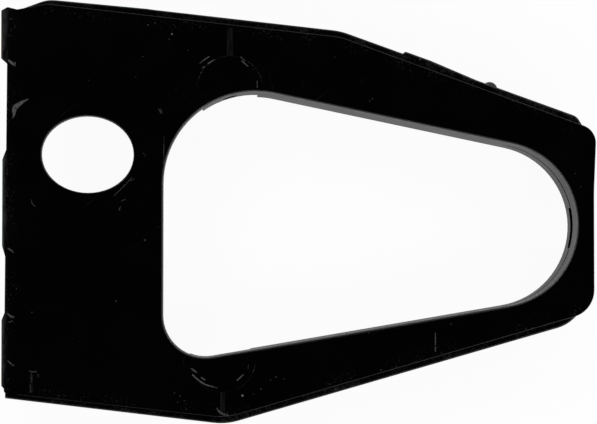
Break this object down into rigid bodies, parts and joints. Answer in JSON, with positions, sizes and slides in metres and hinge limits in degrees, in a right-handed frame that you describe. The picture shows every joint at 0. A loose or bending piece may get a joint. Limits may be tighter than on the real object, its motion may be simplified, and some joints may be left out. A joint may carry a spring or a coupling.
{
  "type": "chain slider",
  "caption": "Moulded plastic chain slider for a motorbike swingarm: a hollow-backed side plate with a large opening and an oval hole, between upper and lower rub strips.",
  "frame": {"origin": "under the middle of the overall box, on the back rim that it lies on", "axes": "+X from the broad end to the nose, +Y from the lower rub strip to the upper one, +Z out of the face"},
  "size_m": [0.2502, 0.1778, 0.0298],
  "materials": {
    "moulded_plastic": "satin black moulding, scuffed on its face and polished where the chain rubs"
  },
  "bodies": {
    "root": {"chain_slider": "moulded_plastic"}
  },
  "joints": []
}
